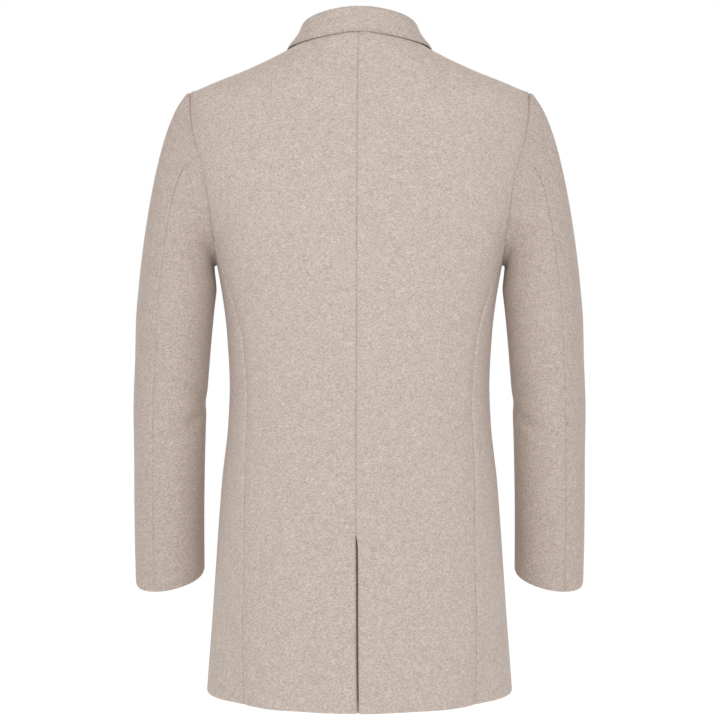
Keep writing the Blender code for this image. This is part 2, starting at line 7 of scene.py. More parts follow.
import bmesh
import bpy
import numpy as np
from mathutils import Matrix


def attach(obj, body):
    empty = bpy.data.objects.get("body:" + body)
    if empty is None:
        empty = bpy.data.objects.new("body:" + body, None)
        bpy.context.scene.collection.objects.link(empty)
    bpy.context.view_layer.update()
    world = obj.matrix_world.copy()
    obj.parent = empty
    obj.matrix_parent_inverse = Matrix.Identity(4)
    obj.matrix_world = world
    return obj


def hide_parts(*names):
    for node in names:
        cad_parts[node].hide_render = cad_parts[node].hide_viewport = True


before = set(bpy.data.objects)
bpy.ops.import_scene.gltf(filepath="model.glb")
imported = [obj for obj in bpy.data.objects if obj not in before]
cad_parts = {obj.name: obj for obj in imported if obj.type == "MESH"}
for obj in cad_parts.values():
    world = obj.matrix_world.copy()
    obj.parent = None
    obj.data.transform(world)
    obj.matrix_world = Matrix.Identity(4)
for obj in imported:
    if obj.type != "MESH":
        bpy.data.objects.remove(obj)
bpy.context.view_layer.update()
scene = bpy.context.scene

# Camera: level with the coat's middle and square to its back, with a long lens
# that takes in a frame a little wider than the coat is tall
CAMERA_DISTANCE = 2.6
CAMERA_LEVEL = -0.4092
CAMERA_SHIFT = -0.0006
FRAME_WIDTH = 0.9504
SENSOR = 36.0

lens = bpy.data.cameras.new("camera")
lens.sensor_width = SENSOR
lens.lens = SENSOR * CAMERA_DISTANCE / FRAME_WIDTH
camera = bpy.data.objects.new("camera", lens)
camera.location = (CAMERA_SHIFT, CAMERA_DISTANCE, CAMERA_LEVEL)
camera.rotation_euler = (math.pi / 2, 0.0, math.pi)
scene.collection.objects.link(camera)
scene.camera = camera
scene.view_settings.view_transform = "Standard"

# Studio: a white surround that lights the cloth from every side, dimmer and warmer
# opposite the camera, a large soft light above the camera, one opposite, and a pale floor
SURROUND = 0.62
WHITE = (1.0, 1.0, 1.0, 1.0)
OPPOSITE_TINT = (0.68, 0.52, 0.39, 1.0)
OPPOSITE_START = 0.2
OPPOSITE_END = 0.70
KEY_POWER = 27.6
KEY_PLACE = (0.0, 2.3, 1.05)
FILL_POWER = 28.0
FILL_PLACE = (0.0, -2.3, 1.3)
LAMP_SIZE = 2.4
LAMP_AIM_LEVEL = -0.35
FLOOR_LEVEL = -1.35
FLOOR_REACH = 14.0
FLOOR_TONE = (0.05, 0.05, 0.05, 1.0)
FLOOR_GLOW = 1.0
MIX_FIRST = 6
MIX_SECOND = 7
MIX_RESULT = 2

world = bpy.data.worlds.new("studio")
world.use_nodes = True
scene.world = world
tree = world.node_tree
glow = tree.nodes["Background"]
direction = tree.nodes.new("ShaderNodeTexCoord")
facing = tree.nodes.new("ShaderNodeVectorMath")
facing.operation = "DOT_PRODUCT"
facing.inputs[1].default_value = (0.0, -1.0, 0.0)
tree.links.new(direction.outputs["Generated"], facing.inputs[0])
opposite = tree.nodes.new("ShaderNodeMapRange")
opposite.interpolation_type = "SMOOTHSTEP"
opposite.inputs["From Min"].default_value = OPPOSITE_START
opposite.inputs["From Max"].default_value = OPPOSITE_END
tree.links.new(facing.outputs["Value"], opposite.inputs["Value"])
seen = tree.nodes.new("ShaderNodeLightPath")
unseen = tree.nodes.new("ShaderNodeMath")
unseen.operation = "SUBTRACT"
unseen.inputs[0].default_value = 1.0
tree.links.new(seen.outputs["Is Camera Ray"], unseen.inputs[1])
dimmed = tree.nodes.new("ShaderNodeMath")
dimmed.operation = "MULTIPLY"
tree.links.new(opposite.outputs["Result"], dimmed.inputs[0])
tree.links.new(unseen.outputs["Value"], dimmed.inputs[1])
surround = tree.nodes.new("ShaderNodeMix")
surround.data_type = "RGBA"
surround.inputs[MIX_FIRST].default_value = WHITE
surround.inputs[MIX_SECOND].default_value = OPPOSITE_TINT
tree.links.new(dimmed.outputs["Value"], surround.inputs["Factor"])
tree.links.new(surround.outputs[MIX_RESULT], glow.inputs["Color"])
strength = tree.nodes.new("ShaderNodeMapRange")
strength.inputs["To Min"].default_value = SURROUND
strength.inputs["To Max"].default_value = 1.0
tree.links.new(seen.outputs["Is Camera Ray"], strength.inputs["Value"])
tree.links.new(strength.outputs["Result"], glow.inputs["Strength"])

lamps = (("key", KEY_POWER, KEY_PLACE), ("fill", FILL_POWER, FILL_PLACE))
for lamp_name, power, place in lamps:
    light = bpy.data.lights.new(lamp_name, "AREA")
    light.size = LAMP_SIZE
    light.energy = power
    lamp = bpy.data.objects.new(lamp_name, light)
    lamp.location = place
    tilt = math.atan2(abs(place[1]), place[2] - LAMP_AIM_LEVEL)
    lamp.rotation_euler = (tilt, 0.0, math.pi if place[1] > 0 else 0.0)
    scene.collection.objects.link(lamp)

half = FLOOR_REACH / 2
floor_mesh = bpy.data.meshes.new("floor")
floor_plan = ((-half, -half), (half, -half), (half, half), (-half, half))
floor_mesh.from_pydata([(x, y, FLOOR_LEVEL) for x, y in floor_plan], [], [(0, 1, 2, 3)])
floor = bpy.data.objects.new("floor", floor_mesh)
scene.collection.objects.link(floor)
pale = bpy.data.materials.new("pale floor")
pale.use_nodes = True
floor_look = pale.node_tree.nodes["Principled BSDF"]
floor_look.inputs["Base Color"].default_value = FLOOR_TONE
floor_look.inputs["Roughness"].default_value = 1.0
floor_look.inputs["Emission Color"].default_value = WHITE
floor_look.inputs["Emission Strength"].default_value = FLOOR_GLOW
floor_mesh.materials.append(pale)

# Wool: a soft beige melange of paler, greyer, tan and darker fibres, felted and matt.
# All cloth pieces are cut from it; a tone given for each piece multiplies painted shade into its colour
WOOL_MIDDLE = (0.556, 0.475, 0.420, 1.0)
WOOL_TAN = (0.560, 0.472, 0.411, 1.0)
WOOL_GREY = (0.551, 0.476, 0.425, 1.0)
FLECK_DARK = (0.796, 0.790, 0.772, 1.0)
FLECK_LIGHT = (1.193, 1.200, 1.222, 1.0)
FIBRE_DARK = (0.904, 0.900, 0.892, 1.0)
FIBRE_LIGHT = (1.085, 1.090, 1.100, 1.0)
CLOUD_DARK = (0.95, 0.945, 0.94, 1.0)
CLOUD_LIGHT = (1.04, 1.04, 1.045, 1.0)
FLECK_SQUASH = (0.90, 0.90, 1.45)
NOISE_COLUMNS = ("scale", "detail")
FLECK_NOISE = (400.0, 1.0)
FIBRE_NOISE = (1000.0, 2.0)
CLOUD_NOISE = (105.0, 2.0)
TINT_NOISE = (70.0, 3.0)
NOISE_ROUGHNESS = 0.55
TINT_OFFSET = (3.1, 1.7, 5.3)
TINT_STOPS = (0.36, 0.50, 0.64)
SHADE_STOPS = (0.28, 0.72)
WOOL_ROUGHNESS = 0.92
WOOL_SPECULAR = 0.15
SHEEN = 0.22
SHEEN_ROUGHNESS = 0.45
SHEEN_TINT = (1.0, 0.97, 0.95, 1.0)
NAP_STRENGTH = 0.30
NAP_DEPTH = 0.0006
MELANGE_OUTPUTS = (("Color", "NodeSocketColor"), ("Height", "NodeSocketFloat"))


def group_nodes(name, sockets):
    """A shader node group with the named outputs."""
    group = bpy.data.node_groups.new(name, "ShaderNodeTree")
    for socket, kind in sockets:
        group.interface.new_socket(socket, in_out="OUTPUT", socket_type=kind)
    return group, group.nodes.new("NodeGroupOutput")


def noise(group, place, sizes):
    """A soft random value over the surface, with sizes in the noise columns' order."""
    node = group.nodes.new("ShaderNodeTexNoise")
    size = dict(zip(NOISE_COLUMNS, sizes))
    node.inputs["Scale"].default_value = size["scale"]
    node.inputs["Detail"].default_value = size["detail"]
    node.inputs["Roughness"].default_value = NOISE_ROUGHNESS
    group.links.new(place, node.inputs["Vector"])
    return node.outputs["Fac"]


def ramp(group, value, places, colours):
    """Colours along a value, each at its place."""
    node = group.nodes.new("ShaderNodeValToRGB")
    marks = node.color_ramp.elements
    while len(marks) < len(places):
        marks.new(places[1])
    for mark, place, colour in zip(marks, places, colours):
        mark.position = place
        mark.color = colour
    group.links.new(value, node.inputs["Fac"])
    return node.outputs["Color"]


def multiplied(group, first, second):
    """One colour darkened or lightened by another."""
    node = group.nodes.new("ShaderNodeMix")
    node.data_type = "RGBA"
    node.blend_type = "MULTIPLY"
    node.inputs["Factor"].default_value = 1.0
    group.links.new(first, node.inputs[MIX_FIRST])
    group.links.new(second, node.inputs[MIX_SECOND])
    return node.outputs[MIX_RESULT]


melange, melange_out = group_nodes("melange", MELANGE_OUTPUTS)
melange.interface.new_socket("Painted shade", in_out="INPUT", socket_type="NodeSocketColor")
melange_in = melange.nodes.new("NodeGroupInput")
spot = melange.nodes.new("ShaderNodeTexCoord").outputs["Object"]
squash = melange.nodes.new("ShaderNodeVectorMath")
squash.operation = "MULTIPLY"
squash.inputs[1].default_value = FLECK_SQUASH
melange.links.new(spot, squash.inputs[0])
flat_spot = squash.outputs["Vector"]
shift = melange.nodes.new("ShaderNodeVectorMath")
shift.operation = "ADD"
shift.inputs[1].default_value = TINT_OFFSET
melange.links.new(flat_spot, shift.inputs[0])
fleck = noise(melange, flat_spot, FLECK_NOISE)
fibre = noise(melange, flat_spot, FIBRE_NOISE)
cloud = noise(melange, spot, CLOUD_NOISE)
tint = noise(melange, shift.outputs["Vector"], TINT_NOISE)
wool_colour = ramp(melange, tint, TINT_STOPS, (WOOL_GREY, WOOL_MIDDLE, WOOL_TAN))
shades = (
    (fleck, FLECK_DARK, FLECK_LIGHT),
    (fibre, FIBRE_DARK, FIBRE_LIGHT),
    (cloud, CLOUD_DARK, CLOUD_LIGHT),
)
for value, dark, light in shades:
    shade = ramp(melange, value, SHADE_STOPS, (dark, light))
    wool_colour = multiplied(melange, wool_colour, shade)
# The tone multiplies painted shade into the wool's colour
wool_colour = multiplied(melange, wool_colour, melange_in.outputs["Painted shade"])
melange.links.new(wool_colour, melange_out.inputs["Color"])
melange.links.new(fleck, melange_out.inputs["Height"])


def wool_material(name, painted_shade):
    """Matt wool with a little sheen, its colour multiplied by a tone of painted shade."""
    material = bpy.data.materials.new(name)
    material.use_nodes = True
    nodes = material.node_tree.nodes
    links = material.node_tree.links
    look = nodes["Principled BSDF"]
    look.inputs["Roughness"].default_value = WOOL_ROUGHNESS
    look.inputs["Specular IOR Level"].default_value = WOOL_SPECULAR
    look.inputs["Sheen Weight"].default_value = SHEEN
    look.inputs["Sheen Roughness"].default_value = SHEEN_ROUGHNESS
    look.inputs["Sheen Tint"].default_value = SHEEN_TINT
    cells = nodes.new("ShaderNodeGroup")
    cells.node_tree = melange
    cells.inputs["Painted shade"].default_value = painted_shade
    nap = nodes.new("ShaderNodeBump")
    nap.inputs["Strength"].default_value = NAP_STRENGTH
    nap.inputs["Distance"].default_value = NAP_DEPTH
    links.new(cells.outputs["Color"], look.inputs["Base Color"])
    links.new(cells.outputs["Height"], nap.inputs["Height"])
    links.new(nap.outputs["Normal"], look.inputs["Normal"])
    return material


body_wool = wool_material("wool", WHITE)

# Back: two panels of wool joined by the centre-back seam, which is open below as the vent.
# They lie on one smooth body surface through rings of girth, shared by fronts and lapels
CLOTH = 0.003
STEP = 1e-4
HEM_LEVEL = -0.8448
SHOULDER_LEVEL = -0.057
UNDERARM_LEVEL = -0.288
NECK_LEVEL = 0.012
VENT_TOP = -0.632
RING_COLUMNS = ("level", "z_back", "z_front", "half_width", "y_back", "y_front", "square")
GIRTH_RINGS = (
    (-0.8448, -0.8504, -0.8480, 0.2012, 0.147, -0.140, 2.00),
    (-0.690, -0.690, -0.690, 0.1900, 0.142, -0.134, 2.12),
    (-0.568, -0.568, -0.568, 0.1810, 0.134, -0.131, 2.25),
    (-0.490, -0.490, -0.490, 0.1727, 0.123, -0.127, 2.30),
    (-0.445, -0.445, -0.445, 0.1710, 0.119, -0.125, 2.30),
    (-0.378, -0.378, -0.378, 0.1742, 0.121, -0.128, 2.35),
    (-0.298, -0.298, -0.298, 0.1850, 0.128, -0.135, 2.40),
    (-0.200, -0.208, -0.208, 0.2120, 0.127, -0.134, 2.45),
    (-0.120, -0.140, -0.150, 0.2250, 0.117, -0.126, 2.35),
    (-0.057, -0.085, -0.105, 0.2224, 0.102, -0.108, 2.25),
    (-0.0555, -0.0824, -0.1029, 0.2172, 0.1013, -0.1071, 2.28),
    (-0.045, -0.064, -0.088, 0.1912, 0.0965, -0.101, 2.50),
    (-0.026, -0.030, -0.060, 0.1418, 0.085, -0.086, 2.60),
    (-0.006, -0.0028, -0.0382, 0.1003, 0.0748, -0.0721, 2.44),
    (0.012, 0.020, -0.020, 0.0700, 0.066, -0.060, 2.20),
)
SEAM_COLUMNS = ("level", "x")
SIDE_BACK_SEAM = (
    (-0.848, 0.1515),
    (-0.660, 0.1490),
    (-0.528, 0.1480),
    (-0.470, 0.1455),
    (-0.389, 0.1510),
    (-0.320, 0.1690),
)
CENTRE_SEAM = (
    (-0.848, 0.0018),
    (-0.780, 0.0026),
    (-0.645, 0.0032),
    (-0.630, 0.0042),
    (-0.560, 0.0042),
    (-0.350, 0.0034),
    (-0.050, 0.0026),
    (0.012, 0.0002),
)
FOLD_COLUMNS = ("face", "x_top", "z_top", "x_end", "z_end", "half_width", "height")
SKIRT_FOLDS = (
    (1, 0.152, -0.690, 0.110, -0.860, 0.020, 0.0040),
    (1, 0.178, -0.700, 0.158, -0.860, 0.016, -0.0040),
    (1, -0.152, -0.690, -0.110, -0.860, 0.020, 0.0040),
    (1, -0.178, -0.700, -0.158, -0.860, 0.016, -0.0040),
    (1, 0.061, -0.670, 0.065, -0.760, 0.012, -0.0016),
    (1, -0.058, -0.640, -0.058, -0.780, 0.020, -0.0018),
    (-1, 0.120, -0.660, 0.098, -0.860, 0.020, 0.0040),
    (-1, -0.126, -0.640, -0.102, -0.860, 0.022, 0.0036),
)
FOLD_ONSET = 1.6
CREASE_FADE = 1.3
BACK_CREASES = (
    (1, 0.100, -0.395, 0.150, -0.372, 0.009, -0.0016),
    (1, 0.094, -0.440, 0.152, -0.448, 0.008, -0.0013),
    (1, -0.096, -0.402, -0.152, -0.378, 0.010, -0.0015),
    (1, -0.090, -0.452, -0.150, -0.446, 0.009, -0.0012),
    (1, 0.168, -0.215, 0.190, -0.285, 0.009, -0.0020),
    (1, -0.170, -0.210, -0.190, -0.282, 0.010, -0.0020),
)
VENT_LIFT = 0.0018
VENT_DIP = 0.0008
VENT_REACH = 0.022
VENT_HALF_GAP = 0.0016
VENT_GAP_REACH = 0.02
VENT_BLEND = 0.020
PRESS_LIFT = 0.0010
PRESS_REACH = 0.012
SIDE_SEAM_DIP = 0.0014
SIDE_SEAM_REACH = 0.0075
SIDE_SEAM_FADE = 0.060
ARMHOLE_BACK_SPREAD = math.radians(29)
ARMHOLE_FRONT_SPREAD = math.radians(36)
ARMHOLE_SHOULDER = 0.22
SEAM_MEETS_ARMHOLE = math.radians(135)
SEAM_LAP = 0.0004
SEAM_DEPTH = 0.0020
SEAM_ROLL = 0.0012
SHALLOW_SEAM_DEPTH = 0.0010
HEM_DEPTH = 0.0012
HEM_ROLL = 0.0016
ROLL_FALL = 1.4
BACK_MOST_ROLL = 0.0024
SHARP_ANGLE = math.radians(50)
RING_LIMIT = 0.9999
EDGE_DISTANCES = (0.0, 0.0003, 0.0007, 0.0012, 0.0019, 0.0030, 0.0055)
BACK_WIDTH = 0.19
BACK_STEPS = 46
SKIRT_ROWS = 150
ARMHOLE_ROWS = 60
YOKE_ROWS = 30


def column(rows, names, name):
    """One named column of a table."""
    return np.array([row[names.index(name)] for row in rows])


def smooth_value(rows, names, name, key):
    """Values between a table's rows, on a smooth curve through them."""
    keys = column(rows, names, names[0])
    values = column(rows, names, name)
    secants = np.diff(values) / np.diff(keys)
    slopes = np.concatenate((secants[:1], np.zeros(len(secants) - 1), secants[-1:]))
    for index in range(1, len(secants)):
        before, after = secants[index - 1:index + 1]
        if before * after > 0:
            slopes[index] = 2 * before * after / (before + after)
    row = np.clip(np.searchsorted(keys, key) - 1, 0, len(keys) - 2)
    span = keys[row + 1] - keys[row]
    part = (key - keys[row]) / span
    start = values[row] * (1 + 2 * part) * (1 - part) ** 2
    start = start + slopes[row] * span * part * (1 - part) ** 2
    end = values[row + 1] * part ** 2 * (3 - 2 * part)
    return start + end + slopes[row + 1] * span * part ** 2 * (part - 1)


def ease(value):
    """A soft step from 0 to 1."""
    value = np.clip(value, 0.0, 1.0)
    return value * value * (3 - 2 * value)


def unit(vectors):
    return vectors / np.linalg.norm(vectors, axis=-1, keepdims=True)


def ring_value(name, level):
    return smooth_value(GIRTH_RINGS, RING_COLUMNS, name, level)


def plain_point(level, angle, side):
    """The body's surface without folds: angle 0 is the centre back, pi the centre front."""
    level, angle = np.broadcast_arrays(level, angle)
    square = ring_value("square", level)
    across = np.sin(angle)
    along = np.cos(angle)
    reach = (np.abs(across) ** square + np.abs(along) ** square) ** (-1 / square)
    behind = along > 0
    depth = np.where(behind, ring_value("y_back", level), -ring_value("y_front", level))
    height = np.where(behind, ring_value("z_back", level), ring_value("z_front", level))
    x = side * ring_value("half_width", level) * reach * across
    z = level + (height - level) * along * along
    return np.stack((x, depth * reach * along, z), axis=-1)


def fold_height(points):
    """How far the skirt's largest folds lift the cloth."""
    height = np.zeros(points.shape[:-1])
    for row in SKIRT_FOLDS:
        fold = dict(zip(FOLD_COLUMNS, row))
        run = (fold["z_top"] - points[..., 2]) / (fold["z_top"] - fold["z_end"])
        away = points[..., 0] - fold["x_top"] - (fold["x_end"] - fold["x_top"]) * run
        spread = np.exp(-(away / fold["half_width"]) ** 2)
        height += (fold["face"] * points[..., 1] > 0) * fold["height"] * ease(run * FOLD_ONSET) * spread
    return height


def crease_height(points, rows):
    """Heights of soft troughs and ridges, each along its own line and fading at both ends."""
    height = np.zeros(points.shape[:-1])
    for row in rows:
        crease = dict(zip(FOLD_COLUMNS, row))
        run_x = crease["x_end"] - crease["x_top"]
        run_z = crease["z_end"] - crease["z_top"]
        length = math.hypot(run_x, run_z)
        off_x = points[..., 0] - crease["x_top"]
        off_z = points[..., 2] - crease["z_top"]
        run = (off_x * run_x + off_z * run_z) / length ** 2
        away = (off_x * run_z - off_z * run_x) / length
        fade = np.sin(np.pi * np.clip(run, 0.0, 1.0)) ** CREASE_FADE
        spread = np.exp(-(away / crease["half_width"]) ** 2)
        height += (crease["face"] * points[..., 1] > 0) * crease["height"] * fade * spread
    return height


def surface_normal(surface, level, angle, side):
    around = surface(level, angle + STEP, side) - surface(level, angle - STEP, side)
    upward = surface(level + STEP, angle, side) - surface(level - STEP, angle, side)
    return side * unit(np.cross(upward, around))


def body_point(level, angle, side):
    points = plain_point(level, angle, side)
    height = fold_height(points)
    return points + surface_normal(plain_point, level, angle, side) * height[..., None]


def angle_at(level, x, front):
    """The angle at which the body's ring reaches a distance x from its middle."""
    square = ring_value("square", level)
    share = np.minimum(np.abs(x) / ring_value("half_width", level), RING_LIMIT) ** square
    angle = np.copysign(np.arctan((share / (1 - share)) ** (1 / square)), x)
    return math.pi - angle if front else angle


def armhole(turn):
    """Level and angle of the armhole: turn 0 is the shoulder, pi the underarm."""
    middle = (SHOULDER_LEVEL + UNDERARM_LEVEL) / 2
    rise = (SHOULDER_LEVEL - UNDERARM_LEVEL) / 2
    spread = np.where(np.sin(turn) > 0, ARMHOLE_BACK_SPREAD, ARMHOLE_FRONT_SPREAD)
    narrowing = np.where(np.cos(turn) > 0, ARMHOLE_SHOULDER * np.sin(2 * turn) ** 2, 0.0)
    reach = np.sign(np.sin(turn)) * (np.abs(np.sin(turn)) - narrowing)
    return middle + rise * np.cos(turn), math.pi / 2 - spread * reach


def side_seam_angle(level):
    """Angle of the side-back seam, ending at the armhole."""
    top_level, top_angle = armhole(SEAM_MEETS_ARMHOLE)
    top_x = float(body_point(top_level, top_angle, 1)[0])
    rows = SIDE_BACK_SEAM + ((float(top_level), top_x),)
    return angle_at(level, smooth_value(rows, SEAM_COLUMNS, "x", level), False)


def shares(steps, width, start=True, end=True):
    """Shares from 0 to 1 across a piece, closer together at its sewn edges."""
    near = np.array(EDGE_DISTANCES) / width
    low = near[-1] if start else 0.0
    high = 1 - near[-1] if end else 1.0
    parts = [np.linspace(low, high, steps)]
    if start:
        parts.insert(0, near[:-1])
    if end:
        parts.append(1 - near[-2::-1])
    return np.concatenate(parts)


def run_lengths(points, axis):
    """Distances along a grid from its first line, and from its last."""
    pieces = np.linalg.norm(np.diff(points, axis=axis), axis=-1)
    start = np.cumsum(pieces, axis=axis)
    pad = [(0, 0), (0, 0)]
    pad[axis] = (1, 0)
    start = np.pad(start, pad)
    return start, np.take(start, [-1], axis=axis) - start


def seam_roll(distance, depth=SEAM_DEPTH, reach=SEAM_ROLL):
    """How far cloth turns down towards a sewn edge."""
    return -depth * np.exp(-(distance / reach) ** ROLL_FALL)


def grid_normal(points, sign):
    along = np.gradient(points, axis=0)
    across = np.gradient(points, axis=1)
    return sign * unit(np.cross(along, across))


def cloth_shell(name, material, points, normal, drape, roll, cells=None):
    """A closed shell on a grid: drape moves both its faces, roll only the outer one."""
    outer = points + normal * (drape + roll)[..., None]
    inner = points + normal * (drape - CLOTH)[..., None]
    rows, steps = points.shape[:2]
    if cells is None:
        cells = np.ones((rows - 1, steps - 1), bool)
    index = np.arange(rows * steps).reshape(rows, steps)
    corners = np.stack((index[:-1, :-1], index[:-1, 1:], index[1:, 1:], index[1:, :-1]), axis=-1)
    faces = [corners[cells], corners[cells][:, ::-1] + rows * steps]
    padded = np.pad(cells, 1)
    for first, second, down, right in ((0, 1, -1, 0), (1, 2, 0, 1), (2, 3, 1, 0), (3, 0, 0, -1)):
        beside = padded[1 + down:rows + down, 1 + right:steps + right]
        edge = corners[cells & ~beside]
        start, end = edge[:, first], edge[:, second]
        faces.append(np.stack((end, start, start + rows * steps, end + rows * steps), axis=-1))
    faces = np.concatenate(faces)
    places = np.concatenate((outer.reshape(-1, 3), inner.reshape(-1, 3)))
    used = np.unique(faces)
    lookup = np.zeros(len(places), int)
    lookup[used] = np.arange(len(used))
    return cloth_piece(name, material, places[used], lookup[faces])


def cloth_piece(name, material, places, faces):
    mesh = bpy.data.meshes.new(name)
    mesh.from_pydata(places.tolist(), [], faces.tolist())
    work = bmesh.new()
    work.from_mesh(mesh)
    bmesh.ops.recalc_face_normals(work, faces=work.faces)
    work.to_mesh(mesh)
    work.free()
    mesh.shade_smooth()
    mesh.set_sharp_from_angle(angle=SHARP_ANGLE)
    mesh.materials.append(material)
    piece = bpy.data.objects.new(name, mesh)
    scene.collection.objects.link(piece)
    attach(piece, "root")
    return piece


def side_name(side):
    return "left" if side > 0 else "right"


def back_panel(side):
    """One half of the back, from the centre-back seam to the side-back seam and armhole."""
    seam_top = float(armhole(SEAM_MEETS_ARMHOLE)[0])
    skirt = np.linspace(HEM_LEVEL, seam_top, SKIRT_ROWS)
    turns = np.linspace(SEAM_MEETS_ARMHOLE, 0.0, ARMHOLE_ROWS)[1:]
    round_levels, round_angles = armhole(turns)
    yoke = np.linspace(SHOULDER_LEVEL, NECK_LEVEL, YOKE_ROWS)[1:]
    levels = np.concatenate((skirt, round_levels, yoke))
    ends = np.concatenate((side_seam_angle(skirt), round_angles, np.full(len(yoke), math.pi / 2)))
    seam_x = smooth_value(CENTRE_SEAM, SEAM_COLUMNS, "x", levels)
    starts = side * angle_at(levels, seam_x - side * SEAM_LAP, False)
    across = shares(BACK_STEPS, BACK_WIDTH)
    angles = starts[:, None] + (ends - starts)[:, None] * across[None, :]
    points = body_point(levels[:, None], angles, side)
    from_centre, from_edge = run_lengths(points, 1)
    from_hem = run_lengths(points, 0)[0]
    drape = crease_height(points, BACK_CREASES)
    vent = ease((VENT_TOP + VENT_BLEND / 2 - points[..., 2]) / VENT_BLEND)
    if side < 0:
        drape = drape + vent * VENT_LIFT * np.exp(-(from_centre / VENT_REACH) ** 2)
        drape = drape + (1 - vent) * PRESS_LIFT * np.exp(-(from_centre / PRESS_REACH) ** 2)
    else:
        drape = drape - vent * VENT_DIP * np.exp(-(from_centre / VENT_REACH) ** 2)
    below_arm = ease((UNDERARM_LEVEL - points[..., 2]) / SIDE_SEAM_FADE)
    drape = drape - below_arm * SIDE_SEAM_DIP * np.exp(-(from_edge / SIDE_SEAM_REACH) ** 2)
    roll = seam_roll(from_centre) + seam_roll(from_edge, SHALLOW_SEAM_DEPTH)
    roll = np.maximum(roll + seam_roll(from_hem, HEM_DEPTH, HEM_ROLL), -BACK_MOST_ROLL)
    vent_open = vent * VENT_HALF_GAP * np.exp(-(from_centre / VENT_GAP_REACH) ** 2)
    points = points + vent_open[..., None] * np.array((side, 0.0, 0.0))
    name = "back_" + side_name(side) + "_cloth"
    return cloth_shell(name, body_wool, points, grid_normal(points, side), drape, roll)


for side in (1, -1):
    back = back_panel(side)
    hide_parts("back_" + side_name(side))

# Vent underlap: a strip of the same wool behind the vent, sewn inside the left back.
# It sags inwards behind the open vent, and its colour is made warmer and darker in green and blue:
# painted shade
UNDERLAP_WIDTH = 0.050
UNDERLAP_TURN = 0.014
UNDERLAP_RISE = 0.030
LAY_GAP = 0.0008
UNDERLAP_SAG = 0.0070
UNDERLAP_ROWS = 60
UNDERLAP_STEPS = 24
UNDERLAP_PAINTED_SHADE = (1.15, 0.90, 0.71, 1.0)

underlap_shaded_wool = wool_material("underlap wool painted shade", UNDERLAP_PAINTED_SHADE)
levels = np.linspace(HEM_LEVEL, VENT_TOP + UNDERLAP_RISE, UNDERLAP_ROWS)[:, None]
strip_x = np.linspace(UNDERLAP_TURN, -UNDERLAP_WIDTH, UNDERLAP_STEPS)[None, :]
strip_angles = angle_at(levels, strip_x, False)
strip = body_point(levels, strip_angles, 1)
sag = UNDERLAP_SAG * ease((UNDERLAP_TURN - strip_x) / UNDERLAP_TURN)
inward = (CLOTH + LAY_GAP + sag)[..., None]
strip = strip - surface_normal(body_point, levels, strip_angles, 1) * inward
flat = np.zeros(strip.shape[:2])
underlap = cloth_shell("vent_underlap_cloth", underlap_shaded_wool, strip, grid_normal(strip, -1), flat, flat)
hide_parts("vent_underlap")

# Fronts: wool from the side-back seam under the arm to the front edge, the left one on top.
# Above the break of the lapel each front ends at the roll line
BREAK_LEVEL = -0.335
OVERLAP = 0.020
ROLL_NECK_X = 0.060
TUCK_START = 0.105
TUCK_END = 0.026
TUCK_BELOW_BREAK = 0.06
TUCK_BLEND = 0.05
ARMHOLE_PULL = 3
UNDER_SHARE = 6 / 14
UNDER_WIDTH = 0.11
UNDER_STEPS = 30
FRONT_WIDTH = 0.14
FRONT_STEPS = 40
SKIRT_LENGTH = 0.55
MOST_ROLL = 0.0022
FRONT_CREASES = (
    (-1, 0.060, -0.372, 0.150, -0.330, 0.011, -0.0022),
    (-1, 0.050, -0.410, 0.146, -0.418, 0.010, -0.0018),
    (-1, -0.064, -0.380, -0.150, -0.340, 0.012, -0.0020),
    (-1, -0.058, -0.425, -0.140, -0.440, 0.010, -0.0016),
    (-1, 0.135, -0.185, 0.172, -0.265, 0.011, -0.0024),
    (-1, -0.138, -0.190, -0.170, -0.268, 0.012, -0.0022),
    (-1, 0.075, -0.640, 0.062, -0.790, 0.016, -0.0020),
    (-1, -0.084, -0.650, -0.066, -0.800, 0.018, -0.0018),
)


def roll_x(level):
    """Where the front's edge, and above it the lapel's roll line, lies."""
    rise = np.maximum(level - BREAK_LEVEL, 0.0) / (NECK_LEVEL - BREAK_LEVEL)
    return -OVERLAP + (ROLL_NECK_X + OVERLAP) * rise


def front_point(level, angle, side):
    """The front's outer face: the right one dips to pass under the left."""
    points = body_point(level, angle, side)
    if side > 0:
        return points
    layers = 1 + ease((level - BREAK_LEVEL + TUCK_BELOW_BREAK) / TUCK_BLEND)
    reach = side * points[..., 0]
    depth = layers * (CLOTH + LAY_GAP) * ease((TUCK_START - reach) / (TUCK_START - TUCK_END))
    depth = depth * (points[..., 1] < 0)
    return points - surface_normal(body_point, level, angle, side) * depth[..., None]


